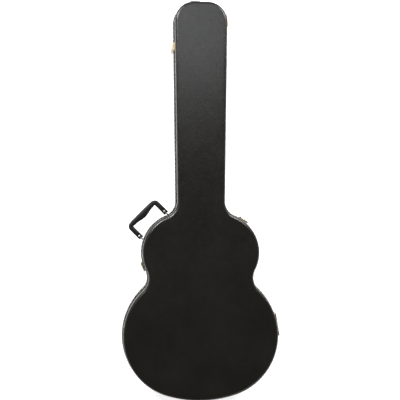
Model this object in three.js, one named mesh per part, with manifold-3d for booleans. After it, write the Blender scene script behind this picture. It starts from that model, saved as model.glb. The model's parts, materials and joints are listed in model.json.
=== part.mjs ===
// A hard-shell guitar case that follows the guitar's outline, lying on its back, in millimetres, +Z up.
// The lid faces up, the neck points along +Y, the handle is on the -X side and the hinges on the +X side.
import * as THREE from 'three';
import { mergeVertices } from 'three/addons/utils/BufferGeometryUtils.js';
import Module from 'manifold-3d';

const wasm = await Module();
wasm.setup();

const DEGREE = Math.PI / 180;

// ---- driving dimensions ----
const GAP = 0.3; // clearance between pieces that touch
const CASE_DEPTH = 146; // underside of the back to the top of the lid
const LID_DEPTH = 42; // seam to the top of the lid
const WALL = 7; // plywood side walls
const PANEL = 6; // plywood back and top
const EDGE_RADIUS = 9; // rounding where the walls turn into the panels
const PANEL_INSET = 12; // edge of each flat panel, measured in from the outside
const OUTLINE_STEP = 10; // degrees of turn between neighbouring outline points

const BINDING_PROUD = 3; // edging standing out from the wall
const BINDING_TALL = 10.2; // edging on each side of the seam
const LINING = 2; // plush on card
const VALANCE_BOARD = 3;
const VALANCE_UP = 10; // how far the valance reaches into the lid
const VALANCE_DOWN = 24;
const VALANCE_CLEARANCE = 1.2;
const VALANCE_REBATE = 2; // depth of the step that lets the valance reach over the base's wall

// The right half of the outline, from the middle of the tail to the middle of the head. Every run
// is tangent to the one before it. A hollow run curves the other way.
const tail = { radius: 324, turn: 17 };
const lowerBout = { radius: 173, turn: 120 };
const waist = { radius: 48, turn: 74, hollow: true };
const upperBout = { radius: 108, turn: 95 };
const neckRoot = { radius: 47, turn: 68.8, hollow: true };
const neckSide = { length: 503 };
const headCorner = { radius: 55, turn: 90.8 };
const outlineRuns = [tail, lowerBout, waist, upperBout, neckRoot, neckSide, headCorner];

const SEAM = CASE_DEPTH - LID_DEPTH;
const INNER_WALL = -WALL - GAP; // offset of whatever is glued inside the walls
const LINING_FACE = INNER_WALL - LINING;
const VALANCE_FACE = INNER_WALL - VALANCE_BOARD;
const FURNITURE_FACE = VALANCE_FACE - GAP; // offset of the pads and boards that stand in the base
const FLOOR_LINING_TOP = PANEL + GAP + LINING;
const FURNITURE_BOTTOM = FLOOR_LINING_TOP + GAP;

// ---- colours ----
function material(color, roughness, metalness = 0) {
  return new THREE.MeshStandardMaterial({ color, roughness, metalness });
}

const vinyl = material(0x26241f, 0.55);
const edging = material(0x17181a, 0.5);
const baseEdging = material(0x4a3f2e, 0.6);
const plush = material(0x53191f, 0.95);
const board = material(0x8a6a48, 0.8);
const brass = material(0xa8925a, 0.35, 1);
const nickel = material(0xb9b9bb, 0.25, 1);
const moulding = material(0x111113, 0.45);
const rubber = material(0x1a1a1a, 0.8);
const ribbon = material(0x5a1a20, 0.9);

// ---- solids ----
function toSolid(geometry) {
  const bare = geometry.clone();
  bare.deleteAttribute('normal');
  bare.deleteAttribute('uv');
  const merged = mergeVertices(bare, 1e-4);
  return new wasm.Manifold(new wasm.Mesh({
    numProp: 3,
    vertProperties: new Float32Array(merged.attributes.position.array),
    triVerts: new Uint32Array(merged.index.array),
  }));
}

function toGeometry(solid) {
  const { vertProperties, triVerts } = solid.getMesh();
  const geometry = new THREE.BufferGeometry();
  geometry.setAttribute('position', new THREE.BufferAttribute(vertProperties, 3));
  geometry.setIndex(new THREE.BufferAttribute(triVerts, 1));
  return geometry;
}

function union(...geometries) {
  return geometries.map(toSolid).reduce((sum, next) => sum.add(next));
}

function block(x, y, z) {
  const geometry = new THREE.BoxGeometry(x[1] - x[0], y[1] - y[0], z[1] - z[0]);
  return geometry.translate((x[0] + x[1]) / 2, (y[0] + y[1]) / 2, (z[0] + z[1]) / 2);
}

function rod(radius, y, x, z, sides = 16) {
  const geometry = new THREE.CylinderGeometry(radius, radius, y[1] - y[0], sides);
  return geometry.translate(x, (y[0] + y[1]) / 2, z);
}

// A section drawn outward and up, made as wide along Y as asked and centred on Y = 0.
function slab(points, width) {
  const shape = new THREE.Shape(points.map(([out, up]) => new THREE.Vector2(out, up)));
  const geometry = new THREE.ExtrudeGeometry(shape, { depth: width, bevelEnabled: false });
  return geometry.rotateX(Math.PI / 2).translate(0, width / 2, 0);
}

// ---- outline ----
function walkOutline() {
  let x = 0;
  let y = 0;
  let heading = 0;
  const half = [{ x, y, heading }];
  for (const run of outlineRuns) {
    run.start = { x, y, heading };
    if (run.length) {
      x += run.length * Math.cos(heading);
      y += run.length * Math.sin(heading);
      half.push({ x, y, heading });
      continue;
    }
    const side = run.hollow ? -1 : 1;
    const centre = {
      x: x - side * run.radius * Math.sin(heading),
      y: y + side * run.radius * Math.cos(heading),
    };
    const steps = Math.ceil(run.turn / OUTLINE_STEP);
    for (let step = 1; step <= steps; step += 1) {
      heading = run.start.heading + side * run.turn * DEGREE * step / steps;
      x = centre.x + side * run.radius * Math.sin(heading);
      y = centre.y - side * run.radius * Math.cos(heading);
      half.push({ x, y, heading });
    }
    run.centre = centre;
  }
  return half;
}

const halfOutline = walkOutline();
const CASE_LENGTH = halfOutline.at(-1).y;
for (const run of outlineRuns) {
  run.start.y -= CASE_LENGTH / 2;
  if (run.centre) run.centre.y -= CASE_LENGTH / 2;
}
const rightStations = halfOutline.map(({ x, y, heading }) => ({
  x,
  y: y - CASE_LENGTH / 2,
  nx: Math.sin(heading),
  ny: -Math.cos(heading),
}));
const leftStations = rightStations.slice(1).reverse().map(({ x, y, nx, ny }) => ({ x: -x, y, nx: -nx, ny }));
const stations = [...rightStations, ...leftStations];

function outlinePoint(station, offset) {
  return new THREE.Vector2(station.x + station.nx * offset, station.y + station.ny * offset);
}

// A flat plate of the case's outline, grown or shrunk by the offset.
function plate(offset, z) {
  const shape = new THREE.Shape(stations.map((station) => outlinePoint(station, offset)));
  const geometry = new THREE.ExtrudeGeometry(shape, { depth: z[1] - z[0], bevelEnabled: false });
  return geometry.translate(0, 0, z[0]);
}

// A closed profile of [offset, z] carried around the whole outline, anticlockwise seen along the walk.
function ring(profile) {
  const loop = [...profile, profile[0]].map(([offset, z]) => new THREE.Vector2(offset, z));
  const geometry = new THREE.LatheGeometry(loop, stations.length);
  const position = geometry.attributes.position;
  for (let index = 0; index < position.count; index += 1) {
    const station = stations[Math.floor(index / loop.length) % stations.length];
    const { x: offset, y: z } = loop[index % loop.length];
    const point = outlinePoint(station, offset);
    position.setXYZ(index, point.x, point.y, z);
  }
  const solid = toSolid(geometry);
  if (solid.volume() > 0) return solid;
  return ring([...profile].reverse());
}

// ---- shells ----
// One half of the shell's wall, from the seam to the rounded edge. The lid's goes up from the seam and
// the base's, with a flip of -1, goes down.
function wallProfile(flip) {
  const outer = flip > 0 ? LID_DEPTH : SEAM;
  const roundSteps = 3;
  const rounded = [];
  for (let step = 0; step <= roundSteps; step += 1) {
    const angle = step / roundSteps * Math.PI / 2;
    rounded.push([EDGE_RADIUS * (Math.cos(angle) - 1), outer - EDGE_RADIUS * (1 - Math.sin(angle))]);
  }
  return [
    [0, GAP / 2], ...rounded, [GAP - PANEL_INSET, outer], [GAP - PANEL_INSET, outer - PANEL],
    [-WALL, outer - PANEL], [-WALL, GAP / 2],
  ].map(([offset, up]) => [offset, SEAM + flip * up]);
}

function bindingProfile(flip) {
  const chamfer = 0.7;
  const outer = BINDING_PROUD;
  const inner = GAP;
  return [
    [inner, GAP], [outer - chamfer, GAP], [outer, GAP + chamfer],
    [outer, BINDING_TALL - chamfer], [outer - chamfer, BINDING_TALL], [inner, BINDING_TALL],
  ].map(([offset, up]) => [offset, SEAM + flip * up]);
}

const VALANCE_TOP = SEAM + VALANCE_UP;
const VALANCE_BOTTOM = SEAM - VALANCE_DOWN;

function valance() {
  const lip = -WALL - VALANCE_CLEARANCE;
  return ring([
    [INNER_WALL, VALANCE_BOTTOM], [INNER_WALL, SEAM - VALANCE_REBATE], [lip, SEAM - GAP],
    [lip, VALANCE_TOP], [VALANCE_FACE, VALANCE_TOP], [VALANCE_FACE, VALANCE_BOTTOM],
  ]);
}

function liningTray(outerZ, innerZ) {
  return toSolid(plate(INNER_WALL, outerZ)).subtract(toSolid(plate(LINING_FACE, innerZ)));
}

const LID_LINING_BOTTOM = VALANCE_TOP + VALANCE_REBATE;
const LID_LINING_TOP = CASE_DEPTH - PANEL - GAP;
const LID_CEILING = LID_LINING_TOP - LINING;
const lidLining = () => liningTray([LID_LINING_BOTTOM, LID_LINING_TOP], [0, LID_CEILING]);
const baseLining = () => liningTray([PANEL + GAP, VALANCE_BOTTOM - GAP], [FLOOR_LINING_TOP, SEAM]);

// ---- the scene graph ----
const group = new THREE.Group();

function piece(name, shape, look, parent = group) {
  const geometry = shape.isBufferGeometry ? shape : toGeometry(shape);
  const mesh = new THREE.Mesh(geometry, look);
  mesh.name = name;
  parent.add(mesh);
}

// A place on the outside of the wall: local X points out, local Y runs along the wall, Z = 0 at the seam.
function wallGroup(x, y, angle) {
  const place = new THREE.Group();
  place.position.set(x, y, SEAM);
  place.rotation.z = angle;
  group.add(place);
  return place;
}

function addShells() {
  piece('lid_panel', plate(-PANEL_INSET, [CASE_DEPTH - PANEL, CASE_DEPTH]), vinyl);
  piece('lid_side_wall', ring(wallProfile(1)), vinyl);
  piece('lid_binding', ring(bindingProfile(1)).subtract(barrelGrooves()).subtract(loopReliefs()), edging);
  piece('lid_lining', lidLining(), plush);
  piece('base_panel', plate(-PANEL_INSET, [0, PANEL]), vinyl);
  piece('base_side_wall', ring(wallProfile(-1)), vinyl);
  piece('base_binding', ring(bindingProfile(-1)).subtract(barrelGrooves()), baseEdging);
  piece('base_lining', baseLining(), plush);
  piece('valance', valance(), plush);
}

// ---- pads ----
const CRADLE = { from: 5, to: 38, top: 84, notch: 31, notchSides: 24 };
const HEAD_PAD = { from: 425, to: 500, top: 40 };
const WAIST_PAD = { from: -258, to: -172, thick: 15, top: 72 };
const TAIL_PAD = { halfWidth: 78, thick: 14, top: 62 };
const LID_PAD = { from: 0, to: 46, thick: 20, inset: -14 };
const WIDE = 400; // wider than the case to either side

function furnitureSpace(top) {
  return toSolid(plate(FURNITURE_FACE, [FURNITURE_BOTTOM, top]));
}

function neckCradle() {
  const body = furnitureSpace(CRADLE.top).intersect(
    toSolid(block([-WIDE, WIDE], [CRADLE.from, CRADLE.to], [0, CASE_DEPTH])),
  );
  const notch = rod(CRADLE.notch, [0, CRADLE.from + CRADLE.to], 0, CRADLE.top, CRADLE.notchSides);
  return body.subtract(toSolid(notch));
}

// A bolster along the inside of the wall, with the inner top edge cut away.
function wallPad(thick, top, x, y) {
  const chamfer = { in: 0.4 * thick, down: 0.5 * thick };
  const face = FURNITURE_FACE - thick;
  const bolster = ring([
    [FURNITURE_FACE, FURNITURE_BOTTOM], [FURNITURE_FACE, top], [face + chamfer.in, top],
    [face, top - chamfer.down], [face, FURNITURE_BOTTOM],
  ]);
  return bolster.intersect(toSolid(block(x, y, [0, CASE_DEPTH])));
}

function addPads() {
  const headRange = block([-WIDE, WIDE], [HEAD_PAD.from, HEAD_PAD.to], [0, CASE_DEPTH]);
  const lidRange = block([-WIDE, WIDE], [LID_PAD.from, LID_PAD.to], [0, CASE_DEPTH]);
  const lidPadTop = LID_CEILING - GAP;
  const waistRange = [WAIST_PAD.from, WAIST_PAD.to];
  const tailRange = [-TAIL_PAD.halfWidth, TAIL_PAD.halfWidth];
  piece('neck_cradle', neckCradle(), plush);
  piece('head_pad', furnitureSpace(HEAD_PAD.top).intersect(toSolid(headRange)), plush);
  piece('waist_pad_left', wallPad(WAIST_PAD.thick, WAIST_PAD.top, [-WIDE, 0], waistRange), plush);
  piece('waist_pad_right', wallPad(WAIST_PAD.thick, WAIST_PAD.top, [0, WIDE], waistRange), plush);
  piece('tail_pad', wallPad(TAIL_PAD.thick, TAIL_PAD.top, tailRange, [-CASE_LENGTH, -WIDE]), plush);
  piece(
    'lid_neck_pad',
    toSolid(plate(LID_PAD.inset, [lidPadTop - LID_PAD.thick, lidPadTop])).intersect(toSolid(lidRange)),
    plush,
  );
}

// ---- accessory compartment in the neck channel ----
const BOX = { from: 45, to: 245, wall: 6, top: 58, lidThick: 5, freeEdge: -53 };
const BOX_HINGE = {
  x: 48, z: 61, barrel: 2.5, pin: 1.1, length: 27, leafEdge: 44.9, postHalf: 1.5, leafHalf: 1,
};
const BOX_RAIL = { inner: 46.5, depth: 14 };
const BOX_LEDGE = { inner: -50, depth: 8 };
const BOX_KNUCKLES = 5;

function boxKnuckleRange(index) {
  const pitch = (BOX.to - BOX.from - 2 * BOX.wall) / BOX_KNUCKLES;
  const middle = BOX.from + BOX.wall + pitch * (index + 0.5);
  return [middle - BOX_HINGE.length / 2, middle + BOX_HINGE.length / 2];
}

function boxWall(from) {
  const range = block([-WIDE, WIDE], [from, from + BOX.wall], [0, CASE_DEPTH]);
  return furnitureSpace(BOX.top).intersect(toSolid(range));
}

function boxBore() {
  return toSolid(rod(BOX_HINGE.pin + GAP, [0, WIDE], BOX_HINGE.x, BOX_HINGE.z));
}

function boxHingeRail() {
  const insideY = [BOX.from + BOX.wall + GAP, BOX.to - BOX.wall - GAP];
  const strip = block([BOX_RAIL.inner, WIDE], insideY, [BOX.top - BOX_RAIL.depth, BOX.top]);
  let rail = furnitureSpace(BOX.top).intersect(toSolid(strip));
  for (let index = 1; index < BOX_KNUCKLES; index += 2) {
    const range = boxKnuckleRange(index);
    const postX = [BOX_HINGE.x - BOX_HINGE.postHalf, BOX_HINGE.x + BOX_HINGE.postHalf];
    const post = block(postX, range, [BOX.top - BOX_HINGE.leafHalf, BOX_HINGE.z]);
    rail = rail.add(union(post, rod(BOX_HINGE.barrel, range, BOX_HINGE.x, BOX_HINGE.z)));
  }
  return rail.subtract(boxBore());
}

function boxLedge() {
  const insideY = [BOX.from + BOX.wall + GAP, BOX.to - BOX.wall - GAP];
  const strip = block([-WIDE, BOX_LEDGE.inner], insideY, [BOX.top - BOX_LEDGE.depth, BOX.top]);
  return furnitureSpace(BOX.top).intersect(toSolid(strip));
}

function boxLid() {
  const lidZ = [BOX.top + GAP, BOX.top + GAP + BOX.lidThick];
  let lid = toSolid(block([BOX.freeEdge, BOX_HINGE.leafEdge], [BOX.from, BOX.to], lidZ));
  for (let index = 0; index < BOX_KNUCKLES; index += 2) {
    const range = boxKnuckleRange(index);
    const leafZ = [BOX_HINGE.z - BOX_HINGE.leafHalf, BOX_HINGE.z + BOX_HINGE.leafHalf];
    const leaf = block([BOX_HINGE.leafEdge - BOX_HINGE.leafHalf, BOX_HINGE.x], range, leafZ);
    lid = lid.add(union(leaf, rod(BOX_HINGE.barrel, range, BOX_HINGE.x, BOX_HINGE.z)));
  }
  return lid.subtract(boxBore());
}

function addAccessoryBox() {
  const tab = { halfWidth: 9, thick: 1.6, out: 3, back: 22 };
  const lidTop = BOX.top + 2 * GAP + BOX.lidThick;
  const middle = (BOX.from + BOX.to) / 2;
  const pinRange = [boxKnuckleRange(0)[0], boxKnuckleRange(BOX_KNUCKLES - 1)[1]];
  piece('accessory_box_front_wall', boxWall(BOX.from), board);
  piece('accessory_box_back_wall', boxWall(BOX.to - BOX.wall), board);
  piece('accessory_box_hinge_rail', boxHingeRail(), board);
  piece('accessory_box_ledge', boxLedge(), board);
  piece('accessory_box_lid', boxLid(), plush);
  piece('accessory_box_pin', rod(BOX_HINGE.pin, pinRange, BOX_HINGE.x, BOX_HINGE.z), nickel);
  piece('accessory_box_tab', block(
    [BOX.freeEdge - tab.out, BOX.freeEdge + tab.back],
    [middle - tab.halfWidth, middle + tab.halfWidth],
    [lidTop, lidTop + tab.thick],
  ), ribbon);
}

// ---- hinges ----
// They stand on one straight line that touches the lower bout and the head corner on the right side.
const HINGE = {
  width: 28, axisOut: 4.2, barrel: 2.2, pin: 1, leaf: 1.5, footTop: 31, armBottom: 0.5, deepest: -12,
  grooveSides: 24, grooveSpare: 1,
};
const BOUT_HINGE_SPACING = 33;

function supportLine() {
  const dx = lowerBout.centre.x - headCorner.centre.x;
  const dy = lowerBout.centre.y - headCorner.centre.y;
  const lean = Math.acos((headCorner.radius - lowerBout.radius) / Math.hypot(dx, dy));
  const angle = Math.atan2(dy, dx) + lean;
  return { angle, out: { x: Math.cos(angle), y: Math.sin(angle) } };
}

const hingeLine = supportLine();

// The point on the line beside a bout's centre, moved along the line towards the head.
function hingePoint({ run, shift }) {
  const { out } = hingeLine;
  return {
    x: run.centre.x + out.x * run.radius - out.y * shift,
    y: run.centre.y + out.y * run.radius + out.x * shift,
  };
}

const hingeSpots = [
  { name: 'tail', run: lowerBout, shift: -BOUT_HINGE_SPACING / 2 },
  { name: 'waist', run: lowerBout, shift: BOUT_HINGE_SPACING / 2 },
  { name: 'head', run: headCorner, shift: 0 },
];

// A solid made in the row's frame, moved into a wall place's own frame.
function seenFrom(place, geometry) {
  const toOrigin = new THREE.Matrix4().makeTranslation(-place.x, -place.y, -SEAM);
  const unturn = new THREE.Matrix4().makeRotationZ(-place.angle);
  return toSolid(geometry.applyMatrix4(toOrigin).applyMatrix4(unturn));
}

// Room for the barrels in the edging.
function barrelGrooves() {
  const half = HINGE.width / 2 + HINGE.grooveSpare;
  return hingeSpots.map((spot) => {
    const { x, y } = hingePoint(spot);
    const groove = rod(HINGE.barrel + 2 * GAP, [-half, half], HINGE.axisOut, 0, HINGE.grooveSides);
    return toSolid(groove.rotateZ(hingeLine.angle).translate(x, y, SEAM));
  }).reduce((sum, next) => sum.add(next));
}

// The leaf's section: a foot on the wall and a thicker stretch that passes over the edging.
function leafSection(flip) {
  const overEdging = BINDING_PROUD + GAP + HINGE.leaf;
  const foot = GAP + HINGE.leaf;
  const stepUp = BINDING_TALL + GAP + HINGE.leaf;
  return [
    [HINGE.deepest, HINGE.armBottom], [overEdging, HINGE.armBottom], [overEdging, stepUp],
    [foot, stepUp], [foot, HINGE.footTop], [HINGE.deepest, HINGE.footTop],
  ].map(([out, up]) => [out, flip * up]);
}

function leaf(place, flip) {
  const third = HINGE.width / 3;
  const clear = HINGE.barrel + 2 * GAP;
  const zones = [-1, 0, 1].map((at) => [(at - 0.5) * third, (at + 0.5) * third]);
  const ownsMiddle = flip < 0;
  const wall = seenFrom(place, plate(GAP, [0, CASE_DEPTH]));
  const edgingTop = BINDING_TALL + GAP;
  const edgingBand = seenFrom(place, plate(BINDING_PROUD + GAP, [SEAM - edgingTop, SEAM + edgingTop]));
  let solid = toSolid(slab(leafSection(flip), HINGE.width)).subtract(wall).subtract(edgingBand);
  zones.forEach(([from, to], index) => {
    const own = (index === 1) === ownsMiddle;
    const barrelRange = [from + GAP / 2, to - GAP / 2];
    const notchRange = [from - GAP / 2, to + GAP / 2];
    const notch = block([HINGE.axisOut - clear, HINGE.axisOut + clear], notchRange, [-clear, clear]);
    if (own) solid = solid.add(toSolid(rod(HINGE.barrel, barrelRange, HINGE.axisOut, 0)));
    else solid = solid.subtract(toSolid(notch));
  });
  return solid.subtract(toSolid(rod(HINGE.pin + GAP, [-WIDE, WIDE], HINGE.axisOut, 0)));
}

function addHinge(spot) {
  const place = { ...hingePoint(spot), angle: hingeLine.angle };
  const parent = wallGroup(place.x, place.y, place.angle);
  const pinRange = [-HINGE.width / 2, HINGE.width / 2];
  piece(`hinge_${spot.name}_lid_leaf`, leaf(place, 1), brass, parent);
  piece(`hinge_${spot.name}_base_leaf`, leaf(place, -1), brass, parent);
  piece(`hinge_${spot.name}_pin`, rod(HINGE.pin, pinRange, HINGE.axisOut, 0), brass, parent);
}

// ---- latches ----
const LATCH = {
  pivotOut: 6, pivotUp: -14, loopDrop: 9, leverHalf: 8.6, leverEnd: -45, leverIn: 3.6, leverOut: 8.2,
  earHalf: 10.6, earOut: 8.4, earDrop: 4, plateHalf: 12, plateThick: 1.5, plateBottom: -52, pin: 1.2,
  wire: 1.2, wireHalf: 13.2, wireSides: 12, shelfTop: 15.6, shelfThick: 2.6, shelfOut: 8,
  keeperTop: 26, keeperHalf: 11,
};
// Latch places on the upper bout are angles round its centre, measured from straight out to the side.
const WAIST_LATCH_ANGLE = -21;
const SHOULDER_LATCH_ANGLE = 53.5;
const NECK_LATCH_ALONG = 435.2; // from the start of the neck's straight side
const HEAD_LATCH_X = -15.5;
const LOOP_RELIEF = 1.6; // depth of the pressed place in the lid's edging behind each loop

function upperBoutLatch(name, side, degrees) {
  const nx = side * Math.cos(degrees * DEGREE);
  const ny = Math.sin(degrees * DEGREE);
  return {
    name,
    x: side * upperBout.centre.x + nx * upperBout.radius,
    y: upperBout.centre.y + ny * upperBout.radius,
    angle: Math.atan2(ny, nx),
  };
}

function neckLatch() {
  const { x, y, heading } = neckSide.start;
  return {
    name: 'neck',
    x: -x - NECK_LATCH_ALONG * Math.cos(heading),
    y: y + NECK_LATCH_ALONG * Math.sin(heading),
    angle: Math.PI * 1.5 - heading,
  };
}

const latchSpots = [
  neckLatch(),
  { name: 'head', x: HEAD_LATCH_X, y: CASE_LENGTH / 2, angle: Math.PI / 2 },
  upperBoutLatch('waist', -1, WAIST_LATCH_ANGLE),
  upperBoutLatch('shoulder', 1, SHOULDER_LATCH_ANGLE),
];

// The lid's edging is thinner behind each loop, so that it passes the loop as the lid swings.
function loopReliefs() {
  const half = LATCH.wireHalf + 2 * LATCH.wire;
  return latchSpots.map(({ x, y, angle }) => {
    const relief = block([BINDING_PROUD - LOOP_RELIEF, LATCH.pivotOut], [-half, half], [0, LATCH.shelfTop]);
    return toSolid(relief.rotateZ(angle).translate(x, y, SEAM));
  }).reduce((sum, next) => sum.add(next));
}

function latchPlate() {
  const top = -BINDING_TALL - GAP;
  const sheet = [GAP, GAP + LATCH.plateThick];
  const earIn = LATCH.leverHalf + GAP;
  const backing = block(sheet, [-LATCH.plateHalf, LATCH.plateHalf], [LATCH.plateBottom, top]);
  let solid = toSolid(backing);
  for (const side of [-1, 1]) {
    const range = [side * earIn, side * LATCH.earHalf].sort((a, b) => a - b);
    solid = solid.add(toSolid(block([GAP, LATCH.earOut], range, [LATCH.pivotUp - LATCH.earDrop, top])));
  }
  const bore = rod(LATCH.pin + GAP, [-WIDE, WIDE], LATCH.pivotOut, LATCH.pivotUp);
  return solid.subtract(toSolid(bore));
}

// The lever's free end stands out a little, for a finger.
function latchLever() {
  const nose = LATCH.pivotUp + 2;
  const lift = { out: 2.4, tall: 2, from: 7 };
  const liftOut = LATCH.leverOut + lift.out;
  const section = [
    [LATCH.leverIn, nose], [LATCH.leverIn, LATCH.leverEnd], [liftOut, LATCH.leverEnd],
    [liftOut, LATCH.leverEnd + lift.tall], [LATCH.leverOut, LATCH.leverEnd + lift.from],
    [LATCH.leverOut, nose - 1], [LATCH.leverOut - 1, nose],
  ];
  const pinRange = [-LATCH.earHalf, LATCH.earHalf];
  const loopUp = LATCH.pivotUp - LATCH.loopDrop;
  const loopBore = rod(LATCH.wire + GAP, [-WIDE, WIDE], LATCH.pivotOut, loopUp);
  return toSolid(slab(section, 2 * LATCH.leverHalf))
    .add(toSolid(rod(LATCH.pin, pinRange, LATCH.pivotOut, LATCH.pivotUp)))
    .subtract(toSolid(loopBore));
}

function upright(radius, x, y, z) {
  const post = new THREE.CylinderGeometry(radius, radius, z[1] - z[0], LATCH.wireSides);
  return post.rotateX(Math.PI / 2).translate(x, y, (z[0] + z[1]) / 2);
}

function latchLoop() {
  const bottom = LATCH.pivotUp - LATCH.loopDrop;
  const top = LATCH.shelfTop + GAP + LATCH.wire;
  const across = [-LATCH.wireHalf - LATCH.wire, LATCH.wireHalf + LATCH.wire];
  return union(
    rod(LATCH.wire, across, LATCH.pivotOut, bottom, LATCH.wireSides),
    rod(LATCH.wire, across, LATCH.pivotOut, top, LATCH.wireSides),
    upright(LATCH.wire, LATCH.pivotOut, LATCH.wireHalf, [bottom, top]),
    upright(LATCH.wire, LATCH.pivotOut, -LATCH.wireHalf, [bottom, top]),
  );
}

function latchKeeper() {
  const width = 2 * LATCH.keeperHalf;
  const face = GAP + LATCH.plateThick;
  const shelfBottom = LATCH.shelfTop - LATCH.shelfThick;
  return toSolid(slab([
    [GAP, BINDING_TALL + GAP], [face, BINDING_TALL + GAP], [face, shelfBottom - 1],
    [LATCH.shelfOut, shelfBottom], [LATCH.shelfOut, LATCH.shelfTop], [face, LATCH.shelfTop],
    [face, LATCH.keeperTop], [GAP, LATCH.keeperTop],
  ], width));
}

function addLatch({ name, x, y, angle }) {
  const place = wallGroup(x, y, angle);
  piece(`latch_${name}_plate`, latchPlate(), brass, place);
  piece(`latch_${name}_lever`, latchLever(), brass, place);
  piece(`latch_${name}_loop`, latchLoop(), nickel, place);
  piece(`latch_${name}_keeper`, latchKeeper(), brass, place);
}

// ---- handle ----
// It hangs on the left shoulder, square to a direction half way between straight out and the neck.
const HANDLE = {
  angle: 135, halfSpan: 57.2, leg: 14.4, top: 53, thick: 18, pivotOut: 3, pivotDown: 22, pivotAt: 50,
  endRadius: 5.8, shoulder: 14, gripInner: 36.5, belly: 32.5, corner: 16, pin: 2, pinHalf: 5.6,
};
const BRACKET = {
  tongue: 3.6, tongueReach: 3.4, tongueHalfTall: 3.8, footHalf: 11, footTall: 12, footTrim: 1.2,
  footThick: 1.8, buried: 40,
};

function handleShape() {
  const shape = new THREE.Shape();
  const { halfSpan, gripInner, top, corner } = HANDLE;
  const inside = halfSpan - HANDLE.leg;
  const legEnd = HANDLE.pivotOut - HANDLE.endRadius;
  shape.moveTo(-halfSpan, legEnd);
  shape.lineTo(-inside, legEnd);
  shape.lineTo(-inside, gripInner);
  shape.quadraticCurveTo(0, 2 * HANDLE.belly - gripInner, inside, gripInner);
  shape.lineTo(inside, legEnd);
  shape.lineTo(halfSpan, legEnd);
  shape.lineTo(halfSpan, top - corner);
  shape.quadraticCurveTo(halfSpan, top, halfSpan - corner, top);
  shape.lineTo(corner - halfSpan, top);
  shape.quadraticCurveTo(-halfSpan, top, -halfSpan, top - corner);
  return shape;
}

// Seen from the side, each leg narrows to a round end about its pin.
function handleSideProfile() {
  const half = HANDLE.thick / 2;
  const shoulder = HANDLE.pivotOut + HANDLE.shoulder;
  const round = { from: 100, turn: 160 };
  const steps = 8;
  const rounded = [];
  for (let step = 0; step <= steps; step += 1) {
    const angle = (round.from + round.turn * step / steps) * DEGREE;
    rounded.push([
      HANDLE.pivotOut + HANDLE.endRadius * Math.cos(angle), HANDLE.endRadius * Math.sin(angle),
    ]);
  }
  return [...rounded, [shoulder, -half], [HANDLE.top, -half], [HANDLE.top, half], [shoulder, half]];
}

// The drawing runs along the wall (X) and out from it (Y), so it is turned to the local axes.
function handleBody() {
  const bevel = 2.5;
  const depth = HANDLE.thick - 2 * bevel;
  const geometry = new THREE.ExtrudeGeometry(handleShape(), {
    depth, steps: 1, curveSegments: 8, bevelThickness: bevel, bevelSize: bevel,
    bevelOffset: -bevel, bevelSegments: 2,
  });
  geometry.translate(0, 0, -depth / 2).rotateZ(-Math.PI / 2);
  let solid = toSolid(geometry).intersect(toSolid(slab(handleSideProfile(), 3 * HANDLE.halfSpan)));
  for (const side of [-1, 1]) {
    const at = side * HANDLE.pivotAt;
    const half = BRACKET.tongue / 2 + GAP;
    const slotEnd = HANDLE.pivotOut + Math.hypot(BRACKET.tongueReach, BRACKET.tongueHalfTall) + GAP;
    const slot = block([-HANDLE.thick, slotEnd], [at - half, at + half], [-HANDLE.thick, HANDLE.thick]);
    const bore = rod(HANDLE.pin + GAP, [at - HANDLE.leg, at + HANDLE.leg], HANDLE.pivotOut, 0);
    solid = solid.subtract(union(slot, bore));
  }
  return toGeometry(solid).translate(0, 0, -HANDLE.pivotDown);
}

function handleBracket(side, place) {
  const at = side * HANDLE.pivotAt;
  const footTop = BRACKET.footTall - BRACKET.footTrim;
  const height = [-HANDLE.pivotDown - BRACKET.footTall, -HANDLE.pivotDown + footTop];
  const footReach = [at - BRACKET.footHalf, at + BRACKET.footHalf];
  const foot = seenFrom(place, plate(GAP + BRACKET.footThick, [SEAM + height[0], SEAM + height[1]]));
  const footRange = block([-BRACKET.buried, 0], footReach, height);
  const tongue = block(
    [-BRACKET.buried, HANDLE.pivotOut + BRACKET.tongueReach],
    [at - BRACKET.tongue / 2, at + BRACKET.tongue / 2],
    [-HANDLE.pivotDown - BRACKET.tongueHalfTall, -HANDLE.pivotDown + BRACKET.tongueHalfTall],
  );
  const wall = seenFrom(place, plate(GAP, [0, CASE_DEPTH]));
  const bore = rod(HANDLE.pin + GAP, footReach, HANDLE.pivotOut, -HANDLE.pivotDown);
  return foot.intersect(toSolid(footRange)).add(toSolid(tongue)).subtract(wall).subtract(toSolid(bore));
}

function addHandle() {
  const angle = HANDLE.angle * DEGREE;
  const place = {
    x: -upperBout.centre.x + Math.cos(angle) * upperBout.radius,
    y: upperBout.centre.y + Math.sin(angle) * upperBout.radius,
    angle,
  };
  const parent = wallGroup(place.x, place.y, angle);
  piece('carry_handle', handleBody(), moulding, parent);
  for (const [name, side] of [['upper', -1], ['lower', 1]]) {
    const at = side * HANDLE.pivotAt;
    const pinRange = [at - HANDLE.pinHalf, at + HANDLE.pinHalf];
    const pin = rod(HANDLE.pin, pinRange, HANDLE.pivotOut, -HANDLE.pivotDown);
    piece(`handle_bracket_${name}`, handleBracket(side, place), nickel, parent);
    piece(`handle_pin_${name}`, pin, nickel, parent);
  }
}

// ---- feet on the hinge side, where the case stands when it is carried upright ----
const FOOT = { radius: 9, topRadius: 6.75, tall: 6, straight: 3, rim: 5.4, down: 58, sides: 20 };

function footGeometry() {
  const profile = [
    [0, GAP], [FOOT.radius, GAP], [FOOT.radius, FOOT.straight], [FOOT.topRadius, FOOT.rim], [0, FOOT.tall],
  ].map(([radius, out]) => new THREE.Vector2(radius, out));
  return new THREE.LatheGeometry(profile, FOOT.sides).rotateZ(-Math.PI / 2).translate(0, 0, -FOOT.down);
}

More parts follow.
